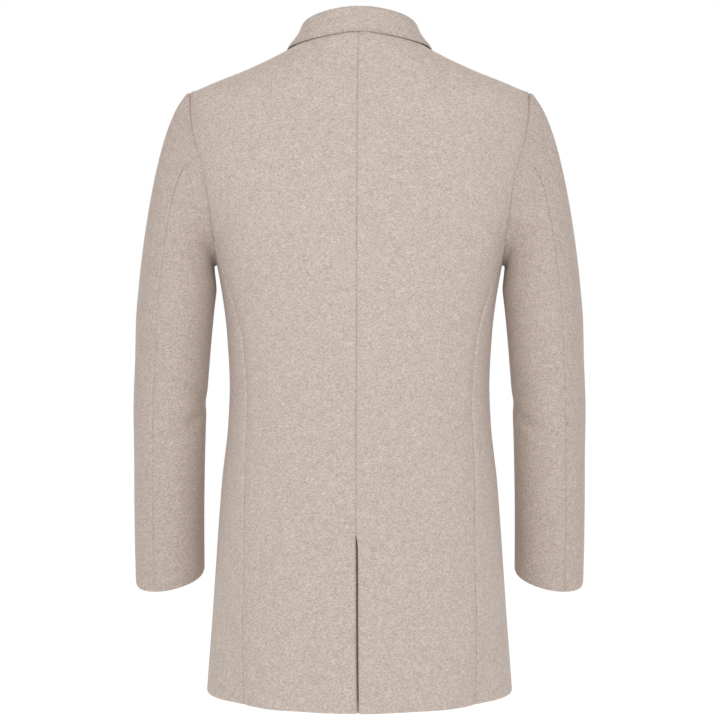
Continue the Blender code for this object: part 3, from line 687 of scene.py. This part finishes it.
def front_panel(side):
    """One front, from the side-back seam under the arm to the front edge and roll line."""
    seam_top = float(armhole(SEAM_MEETS_ARMHOLE)[0])
    last = 2 * math.pi - SEAM_MEETS_ARMHOLE
    corner_level, corner_angle = armhole(last)
    under = shares(UNDER_STEPS, UNDER_WIDTH, True, False)
    ahead = shares(FRONT_STEPS, FRONT_WIDTH)
    turns = SEAM_MEETS_ARMHOLE + (last - SEAM_MEETS_ARMHOLE) * under
    under_levels, under_angles = armhole(turns)
    edge_angle = angle_at(corner_level, roll_x(corner_level), True)
    top = np.concatenate((under_levels, np.full(len(ahead) - 1, corner_level)))
    top_angle = np.concatenate((under_angles, corner_angle + (edge_angle - corner_angle) * ahead[1:]))
    share = np.concatenate((UNDER_SHARE * under, UNDER_SHARE + (1 - UNDER_SHARE) * ahead[1:]))
    up = shares(SKIRT_ROWS, SKIRT_LENGTH)[:, None]
    level = HEM_LEVEL + (top[None, :] - HEM_LEVEL) * up
    start = side_seam_angle(np.minimum(level, seam_top))
    end = angle_at(level, roll_x(level), True)
    top_start = side_seam_angle(np.minimum(top, seam_top))
    top_even = top_start + (angle_at(top, roll_x(top), True) - top_start) * share
    angle = start + (end - start) * share + (top_angle - top_even) * up ** ARMHOLE_PULL
    skirt = front_point(level, angle, side)
    high_turns = np.linspace(last, 2 * math.pi, ARMHOLE_ROWS)[1:]
    high_levels, high_starts = armhole(high_turns)
    yoke = np.linspace(SHOULDER_LEVEL, NECK_LEVEL, YOKE_ROWS)[1:]
    high_levels = np.concatenate((high_levels, yoke))[:, None]
    high_starts = np.concatenate((high_starts, np.full(len(yoke), math.pi / 2)))[:, None]
    high_ends = angle_at(high_levels, roll_x(high_levels), True)
    high = front_point(high_levels, high_starts + (high_ends - high_starts) * ahead[None, :], side)

    from_side, from_edge = run_lengths(skirt, 1)
    from_hem, from_armhole = run_lengths(skirt, 0)
    skirt_roll = seam_roll(from_side) + seam_roll(from_edge, HEM_DEPTH, HEM_ROLL)
    skirt_roll += seam_roll(from_hem, HEM_DEPTH, HEM_ROLL)
    skirt_roll[:, :len(under)] += seam_roll(from_armhole, SHALLOW_SEAM_DEPTH)[:, :len(under)]
    from_side, from_edge = run_lengths(high, 1)
    high_roll = seam_roll(from_side, SHALLOW_SEAM_DEPTH)
    high_roll += seam_roll(from_edge, HEM_DEPTH, HEM_ROLL)

    rows, steps = len(up) + len(high_levels), len(top)
    corner = len(under) - 1
    points = np.zeros((rows, steps, 3))
    points[:len(up)] = skirt
    points[len(up):, corner:] = high
    points[len(up):, :corner] = 2 * high[:, :1] - high[:, 1:2]
    points[len(up), :corner] = 2 * skirt[-1, :corner] - skirt[-2, :corner]
    roll = np.zeros((rows, steps))
    roll[:len(up)] = skirt_roll
    roll[len(up):, corner:] = high_roll
    cells = np.ones((rows - 1, steps - 1), bool)
    cells[len(up) - 1:, :corner] = False
    drape = crease_height(points, FRONT_CREASES)
    roll = np.maximum(roll, -MOST_ROLL)
    name = "front_" + side_name(side) + "_cloth"
    return cloth_shell(name, body_wool, points, grid_normal(points, side), drape, roll, cells)


for side in (1, -1):
    front = front_panel(side)
    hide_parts("front_" + side_name(side))

# Sleeves: a top and an under piece each, joined by a hindarm and a forearm seam, and set
# into the armhole with a slightly full head
SLEEVE_COLUMNS = ("level", "x", "y", "half_width", "half_depth", "tilt_out", "tilt_back")
SLEEVE_RINGS = (
    (-0.320, 0.2400, 0.004, 0.0512, 0.0680, 0.000, 0.000),
    (-0.350, 0.2430, 0.004, 0.0508, 0.0660, 0.000, 0.000),
    (-0.410, 0.2466, 0.002, 0.0490, 0.0620, 0.000, 0.000),
    (-0.475, 0.2502, -0.002, 0.0480, 0.0580, 0.000, 0.000),
    (-0.540, 0.2515, -0.010, 0.0467, 0.0560, -0.001, -0.002),
    (-0.605, 0.2528, -0.020, 0.0463, 0.0540, -0.003, -0.005),
    (-0.665, 0.2532, -0.030, 0.0460, 0.0525, -0.0045, -0.009),
    (-0.699, 0.2532, -0.036, 0.0458, 0.0520, -0.0072, -0.0134),
)
CAP_ROWS = 70
CAP_SPACING = 1.5
CAP_OUTWARD = 0.62
CAP_OUTWARD_TOP = 0.10
CAP_LEAD = 0.277
CAP_LEAD_TOP = -0.14
CAP_TAIL = 0.36
ARM_ROWS = 110
HINDARM_COLUMNS = ("down", "angle")
HINDARM_SEAM = ((0.0, 75.0), (0.4, 76.0), (1.0, 68.0))
FOREARM_SEAM = -60.0
BEND_COLUMNS = ("angle", "level", "half_angle", "half_level", "slant", "height")
SLEEVE_BENDS = (
    (140, -0.488, 42, 0.011, 0.030, -0.0035),
    (150, -0.452, 38, 0.010, -0.020, -0.0028),
    (265, -0.470, 40, 0.012, 0.020, -0.0035),
)
ARM_SEAM_DEPTH = 0.0014
HEAD_SEAM_DEPTH = 0.0008
HEAD_SEAM_CROWN = 0.0014
HEAD_LIFT = 0.0012
HEAD_PLACE = 0.006
HEAD_REACH = 0.005
UNDERARM_FOLD = 0.0034
UNDERARM_REACH = 0.009
# Painted shade: the sleeves' wool is a little darker than the body's
SLEEVE_PAINTED_SHADE = (0.927, 0.910, 0.905, 1.0)
SLEEVE_CREASES = (
    (1, 0.258, -0.150, 0.256, -0.202, 0.005, 0.0010),
    (1, 0.212, -0.240, 0.234, -0.236, 0.005, -0.0018),
    (1, 0.208, -0.284, 0.222, -0.258, 0.005, -0.0016),
    (1, 0.204, -0.482, 0.228, -0.498, 0.006, -0.0016),
    (1, -0.258, -0.150, -0.256, -0.202, 0.005, 0.0010),
    (1, -0.212, -0.240, -0.234, -0.236, 0.005, -0.0018),
    (1, -0.208, -0.284, -0.222, -0.258, 0.005, -0.0016),
    (1, -0.204, -0.482, -0.228, -0.498, 0.006, -0.0016),
    (-1, 0.222, -0.430, 0.284, -0.462, 0.010, -0.0028),
    (-1, 0.216, -0.474, 0.280, -0.470, 0.009, -0.0022),
    (-1, -0.220, -0.436, -0.282, -0.466, 0.010, -0.0026),
    (-1, -0.218, -0.482, -0.284, -0.474, 0.009, -0.0024),
)

sleeve_shaded_wool = wool_material("sleeve wool painted shade", SLEEVE_PAINTED_SHADE)


def armhole_inward(turn, side):
    """Direction in the cloth from the armhole's edge towards its middle."""
    level, angle = armhole(turn)
    after = body_point(*armhole(turn + STEP), side)
    before = body_point(*armhole(turn - STEP), side)
    inward = unit(np.cross(surface_normal(body_point, level, angle, side), after - before))
    middle = body_point((SHOULDER_LEVEL + UNDERARM_LEVEL) / 2, math.pi / 2, side)
    towards = np.sum(inward * (middle - body_point(level, angle, side)), axis=-1, keepdims=True)
    return inward * np.sign(towards)


def sleeve_ring_point(level, angle, side):
    """A point on the sleeve below the armhole: angle 0 is its outside, 90 degrees its back."""
    level, angle = np.broadcast_arrays(level, angle)

    def value(name):
        return smooth_value(SLEEVE_RINGS[::-1], SLEEVE_COLUMNS, name, level)

    out = np.cos(angle)
    behind = np.sin(angle)
    bend = np.ones(level.shape)
    for row in SLEEVE_BENDS:
        crease = dict(zip(BEND_COLUMNS, row))
        away = np.degrees(angle) % 360 - crease["angle"]
        turn = away / crease["half_angle"]
        drop = (level - crease["level"] - crease["slant"] * np.radians(away)) / crease["half_level"]
        bend = bend + crease["height"] / value("half_depth") * np.exp(-turn * turn - drop * drop)
    x = value("x") + value("half_width") * bend * out
    y = value("y") + value("half_depth") * bend * behind
    z = level + value("tilt_out") * out + value("tilt_back") * behind
    return np.stack((side * x, y, z), axis=-1)


def sleeve_cap_point(down, turn, side):
    """A point on the sleeve's head, on a curve from the armhole down to the upper arm."""
    down, turn = np.broadcast_arrays(down, turn)
    high, below = column(SLEEVE_RINGS, SLEEVE_COLUMNS, "level")[:2]
    inward = armhole_inward(turn, side)
    start = body_point(*armhole(turn), side) - inward * SEAM_LAP
    end = sleeve_ring_point(high, turn, side)
    along = unit(end - sleeve_ring_point(below, turn, side))
    crown = np.maximum(np.cos(turn), 0.0)[..., None]
    outward = CAP_OUTWARD + CAP_OUTWARD_TOP * crown
    lead = unit(inward * (1 - outward) + outward * np.array((side, 0.0, 0.0)))
    length = np.linalg.norm(end - start, axis=-1, keepdims=True)
    first = start + lead * length * (CAP_LEAD + CAP_LEAD_TOP * crown ** 2)
    second = end + along * length * CAP_TAIL
    down = down[..., None]
    rest = 1 - down
    upper = start * rest ** 3 + first * 3 * down * rest ** 2
    return upper + second * 3 * down ** 2 * rest + end * down ** 3


def leaning(degrees, down):
    """The angle of a line down the sleeve, leaning with the hindarm seam."""
    top = HINDARM_SEAM[0][1]
    lean = smooth_value(HINDARM_SEAM, HINDARM_COLUMNS, "angle", down) - top
    fixed = np.where(degrees <= top, FOREARM_SEAM, FOREARM_SEAM + 360)
    return np.radians(degrees + lean * (degrees - fixed) / (top - fixed))


def sleeve_piece(name, first, last, steps, width, side):
    """A sleeve piece between two armhole turns, from the armhole to the cuff."""
    levels = column(SLEEVE_RINGS, SLEEVE_COLUMNS, "level")
    across = shares(steps, width)
    degrees = first + (last - first) * across
    down = np.linspace(0.0, 1.0, CAP_ROWS)[:, None] ** CAP_SPACING
    cap = sleeve_cap_point(down, leaning(degrees[None, :], down), side)
    arm = np.linspace(levels[0], levels[-1], ARM_ROWS)[1:, None]
    lower = sleeve_ring_point(arm, leaning(degrees[None, :], np.ones(arm.shape)), side)
    points = np.concatenate((cap, lower))
    from_first, from_last = run_lengths(points, 1)
    from_armhole, from_cuff = run_lengths(points, 0)
    crown = np.maximum(np.cos(np.radians(degrees)), 0.0)[None, :]
    drape = crease_height(points, SLEEVE_CREASES)
    drape = drape + HEAD_LIFT * crown * np.exp(-((from_armhole - HEAD_PLACE) / HEAD_REACH) ** 2)
    under = np.maximum(-np.cos(np.radians(degrees)), 0.0)[None, :]
    drape = drape - UNDERARM_FOLD * np.sqrt(under) * np.exp(-(from_armhole / UNDERARM_REACH) ** 2)
    roll = seam_roll(from_first, ARM_SEAM_DEPTH) + seam_roll(from_last, ARM_SEAM_DEPTH)
    roll = roll + seam_roll(from_armhole, HEAD_SEAM_DEPTH + HEAD_SEAM_CROWN * crown ** 2)
    roll = np.maximum(roll + seam_roll(from_cuff, HEM_DEPTH, HEM_ROLL), -MOST_ROLL)
    normal = grid_normal(points, side)
    normal[0] = surface_normal(body_point, *armhole(np.radians(degrees)), side)
    name = name + "_" + side_name(side) + "_cloth"
    return cloth_shell(name, sleeve_shaded_wool, points, normal, drape, roll)


TOP_SLEEVE_WIDTH = 0.13
TOP_SLEEVE_STEPS = 36
UNDER_SLEEVE_WIDTH = 0.19
UNDER_SLEEVE_STEPS = 54

hindarm_top = HINDARM_SEAM[0][1]
for side in (1, -1):
    top_sleeve = sleeve_piece("top_sleeve", FOREARM_SEAM, hindarm_top, TOP_SLEEVE_STEPS,
                              TOP_SLEEVE_WIDTH, side)
    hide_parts("top_sleeve_" + side_name(side))
    under_sleeve = sleeve_piece("under_sleeve", hindarm_top, FOREARM_SEAM + 360, UNDER_SLEEVE_STEPS,
                                UNDER_SLEEVE_WIDTH, side)
    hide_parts("under_sleeve_" + side_name(side))

# Collar: a stand and a fall of wool in one piece, sewn to the neck and turned down
# over a soft roll, so that its thinned edge lies on the back and shoulders
COLLAR_COLUMNS = ("angle", "rise", "roll_out", "leaf_level", "leaf_lift", "fall_bow")
COLLAR_SECTIONS = (
    (-45.0, 0.0230, 0.0044, 0.0004, 0.0034, 0.0000),
    (0.0, 0.0256, 0.0050, 0.0053, 0.0036, 0.0006),
    (45.0, 0.0230, 0.0044, 0.0004, 0.0034, 0.0000),
    (90.0, 0.0160, 0.0036, -0.0030, 0.0052, -0.0028),
    (108.0, 0.0126, 0.0035, -0.0070, 0.0050, -0.0020),
    (127.0, 0.0092, 0.0035, -0.0220, 0.0044, -0.0008),
)
COLLAR_END = 124.0
COLLAR_STEPS = 170
COLLAR_LENGTH = 0.45
STAND_ROWS = 9
STAND_END = 0.9
ROLL_ROWS = 14
ROLL_TURNS = (180, 10)
ROLL_RADIUS = 0.0042
FALL_ROWS = 16
FALL_WIDTH = 0.034
LEAF_THINNING = 0.0022
LEAF_ROUND = 0.0026
LEAF_MOST_ROLL = 0.0024
EDGE_DEPTH = 0.0013
EDGE_ROLL = 0.0017
# Painted shade: the collar's and lapels' wool is a little darker than the body's
COLLAR_PAINTED_SHADE = (0.945, 0.945, 0.945, 1.0)

collar_shaded_wool = wool_material("collar wool painted shade", COLLAR_PAINTED_SHADE)
degrees = COLLAR_END * (2 * shares(COLLAR_STEPS, COLLAR_LENGTH) - 1)
turned = np.abs(degrees)
neck = np.radians(turned)


def collar_value(name):
    return smooth_value(COLLAR_SECTIONS, COLLAR_COLUMNS, name, turned)


seam = body_point(NECK_LEVEL, neck, 1)
seam_normal = surface_normal(body_point, NECK_LEVEL, neck, 1)
out = unit(seam_normal * np.array((1.0, 1.0, 0.0)))
up = np.array((0.0, 0.0, 1.0))
rise = collar_value("rise")[:, None] - ROLL_RADIUS
roll_top = seam + out * collar_value("roll_out")[:, None] + up * rise
foot = seam - seam_normal * CLOTH
stand = roll_top - out * ROLL_RADIUS - foot
face = [foot + stand * share for share in np.linspace(0.0, STAND_END, STAND_ROWS)]
for turn in np.radians(np.linspace(*ROLL_TURNS, ROLL_ROWS)):
    face.append(roll_top + out * ROLL_RADIUS * math.cos(turn) + up * ROLL_RADIUS * math.sin(turn))
leaf_level = collar_value("leaf_level")
leaf = body_point(leaf_level, neck, 1)
leaf = leaf + surface_normal(body_point, leaf_level, neck, 1) * collar_value("leaf_lift")[:, None]
fall_top = face[-1]
for share in shares(FALL_ROWS, FALL_WIDTH, False, True)[1:]:
    bow = collar_value("fall_bow")[:, None] * math.sin(math.pi * share)
    face.append(fall_top + (leaf - fall_top) * share + out * bow)
same = np.ones(len(degrees))
face = np.stack(face) * np.stack((np.sign(degrees), same, same), axis=-1)
from_leaf = run_lengths(face, 0)[1]
from_right, from_left = run_lengths(face, 1)
ends_roll = seam_roll(from_right, EDGE_DEPTH, EDGE_ROLL) + seam_roll(from_left, EDGE_DEPTH, EDGE_ROLL)
edge_roll = np.maximum(seam_roll(from_leaf, LEAF_THINNING, LEAF_ROUND) + ends_roll, -LEAF_MOST_ROLL)
flat = np.zeros(face.shape[:2])
collar = cloth_shell("collar_cloth", collar_shaded_wool, face, grid_normal(face, -1), flat, edge_roll)
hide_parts("collar")

# Lapels: the fronts' upper edges of wool, turned back over a soft roll along the roll line.
# Their upper ends meet the collar at the gorge
GORGE_LEVEL = 0.0128
LAPEL_TIP_LEVEL = -0.036
LAPEL_TIP_X = 0.132
LAPEL_ROWS = 90
LAPEL_STEPS = 30
LAPEL_LENGTH = 0.33
LAPEL_WIDTH = 0.06
LAPEL_FOOT = 0.006
LAPEL_ROLL_START = BREAK_LEVEL + 0.010
LAPEL_EDGE_START = BREAK_LEVEL + 0.020
LAPEL_BELLY = 0.9
LAPEL_STAND = 0.0022
LAPEL_TURNS = (-70, 75)
LAPEL_TURN_STEPS = 12
LAPEL_MOST_ROLL = 0.0020


def lapel(side):
    """A lapel lying on its front, from the turned roll line to its edge."""
    share = shares(LAPEL_ROWS, LAPEL_LENGTH)[:, None]
    across = shares(LAPEL_STEPS, LAPEL_WIDTH, False, True)[None, :]
    roll_level = LAPEL_ROLL_START + (GORGE_LEVEL - LAPEL_ROLL_START) * share
    edge_level = LAPEL_EDGE_START + (LAPEL_TIP_LEVEL - LAPEL_EDGE_START) * share
    widest = LAPEL_TIP_X - roll_x(LAPEL_TIP_LEVEL)
    reach = LAPEL_FOOT + (widest - LAPEL_FOOT) * share ** LAPEL_BELLY
    level = roll_level + (edge_level - roll_level) * across
    x = roll_x(roll_level) + (roll_x(edge_level) + reach - roll_x(roll_level)) * across
    angle = angle_at(level, x, True)
    normal = surface_normal(body_point, level, angle, side)
    lift = np.broadcast_to(LAY_GAP + LAPEL_STAND * share ** 2, level.shape)[..., None]
    ground = front_point(level, angle, side)
    points = ground + normal * (CLOTH + lift)
    outward = unit(ground[:, 0] - ground[:, 1])
    centre = ground[:, 0] + normal[:, 0] * lift[:, 0] / 2
    radius = CLOTH + lift[:, 0] / 2
    fold = []
    for turn in np.radians(np.linspace(*LAPEL_TURNS, LAPEL_TURN_STEPS)):
        fold.append(centre + radius * (outward * math.cos(turn) + normal[:, 0] * math.sin(turn)))
    points = np.concatenate((np.stack(fold, axis=1), points), axis=1)
    from_edge = run_lengths(points, 1)[1]
    from_foot, from_gorge = run_lengths(points, 0)
    ends = seam_roll(from_foot, EDGE_DEPTH, EDGE_ROLL) + seam_roll(from_gorge, EDGE_DEPTH, EDGE_ROLL)
    roll = np.maximum(seam_roll(from_edge, EDGE_DEPTH, EDGE_ROLL) + ends, -LAPEL_MOST_ROLL)
    flat = np.zeros(points.shape[:2])
    name = "lapel_" + side_name(side) + "_cloth"
    return cloth_shell(name, collar_shaded_wool, points, grid_normal(points, -side), flat, roll)


for side in (1, -1):
    turned_back = lapel(side)
    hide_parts("lapel_" + side_name(side))

# Buttons: three dark horn discs with a raised rim and four holes, drawn as near-black plugs of painted
# shade, sewn on at the centre front with two bows of thread each
BUTTON_COLUMNS = ("name", "level", "lift")
BUTTONS = (
    ("button_top", -0.350, 0.0006),
    ("button_middle", -0.455, 0.0009),
    ("button_bottom", -0.560, 0.0004),
)
BUTTON_PROFILE = (
    (0.0100, 0.0000), (0.0116, 0.0002), (0.0130, 0.0011), (0.0135, 0.0022), (0.0132, 0.0034),
    (0.0124, 0.0041), (0.0115, 0.0041), (0.0104, 0.0037), (0.0092, 0.0033), (0.0075, 0.0032),
)
BUTTON_SIDES = 64
HOLE_PLACE = 0.0022
HOLE_RADIUS = 0.0010
HOLE_SIDES = 16
HOLE_SINK = 0.0004
HOLE_RISE = 0.00008
THREAD_RADIUS = 0.00055
THREAD_RISE = 0.0007
THREAD_SIDES = 8
THREAD_POINTS = 9
THREAD_ASIDE = (0.31, 0.87, 0.37)
HORN = (0.105, 0.070, 0.050, 1.0)
HORN_STREAK = (0.190, 0.130, 0.092, 1.0)
HORN_NOISE = (260.0, 4.0)
HORN_STOPS = (0.35, 0.70)
HORN_ROUGHNESS = 0.35
THREAD = (0.300, 0.235, 0.195, 1.0)
THREAD_ROUGHNESS = 0.8
# Painted shade: near-black plugs stand in for the dark inside of the button's holes
HOLE_SHADE = (0.012, 0.009, 0.007, 1.0)
HOLE_SHADE_ROUGHNESS = 0.7

streaks, streaks_out = group_nodes("horn streaks", (("Color", "NodeSocketColor"),))
horn_spot = streaks.nodes.new("ShaderNodeTexCoord").outputs["Object"]
grain = noise(streaks, horn_spot, HORN_NOISE)
horn_colour = ramp(streaks, grain, HORN_STOPS, (HORN, HORN_STREAK))
streaks.links.new(horn_colour, streaks_out.inputs["Color"])


def plain_material(name, roughness):
    """A material with a roughness and as yet no colour."""
    material = bpy.data.materials.new(name)
    material.use_nodes = True
    look = material.node_tree.nodes["Principled BSDF"]
    look.inputs["Roughness"].default_value = roughness
    return material, look.inputs["Base Color"]


horn, horn_base = plain_material("horn", HORN_ROUGHNESS)
horn_cells = horn.node_tree.nodes.new("ShaderNodeGroup")
horn_cells.node_tree = streaks
horn.node_tree.links.new(horn_cells.outputs["Color"], horn_base)
thread, thread_base = plain_material("thread", THREAD_ROUGHNESS)
thread_base.default_value = THREAD
hole_shade, hole_shade_base = plain_material("button hole painted shade", HOLE_SHADE_ROUGHNESS)
hole_shade_base.default_value = HOLE_SHADE


def tube(line, radius, sides=THREAD_SIDES):
    """Points and faces of a closed round thread along a line of points."""
    line = np.array(line)
    along = unit(np.gradient(line, axis=0))
    first = unit(np.cross(along, np.array(THREAD_ASIDE)))
    second = np.cross(along, first)
    turns = 2 * math.pi * np.arange(sides) / sides
    rings = [line + radius * (first * math.cos(turn) + second * math.sin(turn)) for turn in turns]
    points = np.stack(rings, axis=1).reshape(-1, 3)
    faces = []
    for ring in range(len(line) - 1):
        for step in range(sides):
            after = (step + 1) % sides
            faces.append((ring * sides + step, ring * sides + after,
                          (ring + 1) * sides + after, (ring + 1) * sides + step))
    faces.append(tuple(range(sides))[::-1])
    faces.append(tuple((len(line) - 1) * sides + step for step in range(sides)))
    return points, faces


def joined(name, parts, materials):
    """One object from parts, each its points, its faces and the number of its material."""
    points = []
    faces = []
    numbers = []
    for part_points, part_faces, number in parts:
        faces += [tuple(len(points) + corner for corner in part) for part in part_faces]
        numbers += [number] * len(part_faces)
        points += [tuple(point) for point in part_points]
    mesh = bpy.data.meshes.new(name)
    mesh.from_pydata(points, [], faces)
    for material in materials:
        mesh.materials.append(material)
    mesh.polygons.foreach_set("material_index", numbers)
    work = bmesh.new()
    work.from_mesh(mesh)
    bmesh.ops.recalc_face_normals(work, faces=work.faces)
    work.to_mesh(mesh)
    work.free()
    mesh.shade_smooth()
    mesh.set_sharp_from_angle(angle=SHARP_ANGLE)
    piece = bpy.data.objects.new(name, mesh)
    scene.collection.objects.link(piece)
    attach(piece, "root")
    return piece


def front_axes(level):
    """Place and directions on the left front's middle: out of the cloth, across it and up it."""
    centre = body_point(level, math.pi, 1)
    normal = surface_normal(body_point, level, math.pi, 1)
    across = unit(np.cross(np.array((0.0, 0.0, 1.0)), -normal))
    return centre, normal, across, np.cross(normal, across)


def button(name, level, lift):
    centre, normal, across, upward = front_axes(level)
    base = centre + normal * lift
    turns = 2 * math.pi * np.arange(BUTTON_SIDES) / BUTTON_SIDES
    spokes = np.cos(turns)[:, None] * across + np.sin(turns)[:, None] * upward
    rings = [base + spokes * radius + normal * height for radius, height in BUTTON_PROFILE]
    points = np.concatenate(rings)
    faces = []
    for ring in range(len(BUTTON_PROFILE) - 1):
        for step in range(BUTTON_SIDES):
            start = ring * BUTTON_SIDES + step
            end = ring * BUTTON_SIDES + (step + 1) % BUTTON_SIDES
            faces.append((start, end, end + BUTTON_SIDES, start + BUTTON_SIDES))
    faces.append(tuple(range(BUTTON_SIDES))[::-1])
    faces.append(tuple((len(BUTTON_PROFILE) - 1) * BUTTON_SIDES + step for step in range(BUTTON_SIDES)))
    parts = [(points, faces, 0)]
    well = base + normal * BUTTON_PROFILE[-1][1]
    for beside in (-1, 1):
        ends = [well + across * beside * HOLE_PLACE + upward * way * HOLE_PLACE for way in (-1, 1)]
        for end in ends:
            # Each hole is a near-black plug of painted shade
            hole = [end - normal * HOLE_SINK, end + normal * HOLE_RISE]
            parts.append(tube(hole, HOLE_RADIUS, HOLE_SIDES) + (1,))
        bow = [ends[0] + (ends[1] - ends[0]) * run + normal * THREAD_RISE * math.sin(math.pi * run)
               for run in np.linspace(0.0, 1.0, THREAD_POINTS)]
        parts.append(tube(bow, THREAD_RADIUS) + (2,))
    return joined(name + "_horn", parts, (horn, hole_shade, thread))


for row in BUTTONS:
    made = dict(zip(BUTTON_COLUMNS, row))
    disc = button(**made)
    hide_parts(made["name"])

# Buttonholes: slits in the left front, each bound in thread and showing beside its button.
# The thread is sunk a little into the cloth
BUTTONHOLE_START = 0.010
BUTTONHOLE_END = 0.0265
BUTTONHOLE_LIP = 0.0011
STITCH_RADIUS = 0.0007
STITCH_RISE = 0.3
LIP_POINTS = 16
EYE_POINTS = 9

lips = []
for row in BUTTONS:
    level = dict(zip(BUTTON_COLUMNS, row))["level"]
    runs = np.linspace(BUTTONHOLE_START, BUTTONHOLE_END, LIP_POINTS)
    eye = np.linspace(0.0, math.pi, EYE_POINTS)[1:-1]
    lip = np.full(LIP_POINTS, BUTTONHOLE_LIP)
    line_x = np.concatenate((runs, BUTTONHOLE_END + BUTTONHOLE_LIP * np.sin(eye), runs[::-1]))
    line_z = np.concatenate((lip, BUTTONHOLE_LIP * np.cos(eye), -lip))
    angles = angle_at(level + line_z, line_x, True)
    path = body_point(level + line_z, angles, 1)
    path = path + surface_normal(body_point, level + line_z, angles, 1) * STITCH_RADIUS * STITCH_RISE
    lips.append(tube(path, STITCH_RADIUS) + (0,))
buttonholes = joined("buttonholes", lips, (thread,))
